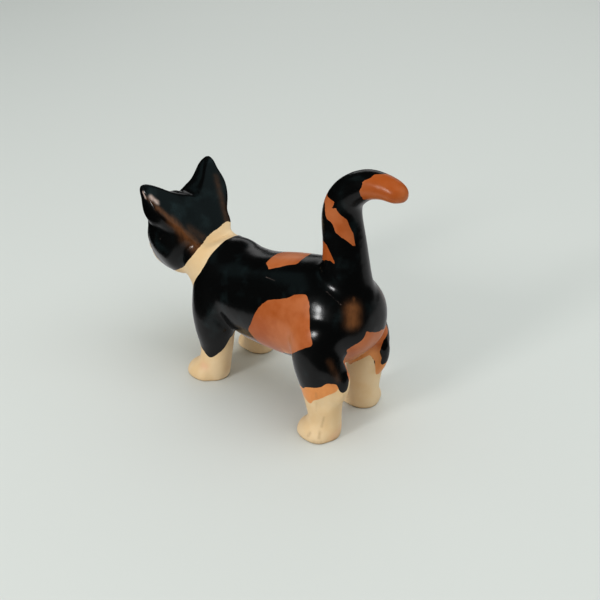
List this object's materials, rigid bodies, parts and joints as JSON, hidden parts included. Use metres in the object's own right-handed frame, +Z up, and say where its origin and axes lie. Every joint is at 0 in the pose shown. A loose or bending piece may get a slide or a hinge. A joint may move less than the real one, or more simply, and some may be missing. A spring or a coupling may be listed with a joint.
{
  "type": "carved soapstone cat figurine",
  "caption": "Small carved and dyed soapstone cat standing on its feet with its tail raised, an ornament that rests by its own weight.",
  "frame": {"origin": "on the floor under the middle of the cat's length and width", "axes": "+Z up; the cat faces -Y, its tail is at +Y and its left side is at +X"},
  "size_m": [0.0454, 0.1304, 0.102],
  "materials": {
    "dyed_soapstone": "polished soapstone, dyed glossy black with orange-brown patches and cream socks and collar"
  },
  "bodies": {
    "root": {"cat": "dyed_soapstone"}
  },
  "joints": []
}
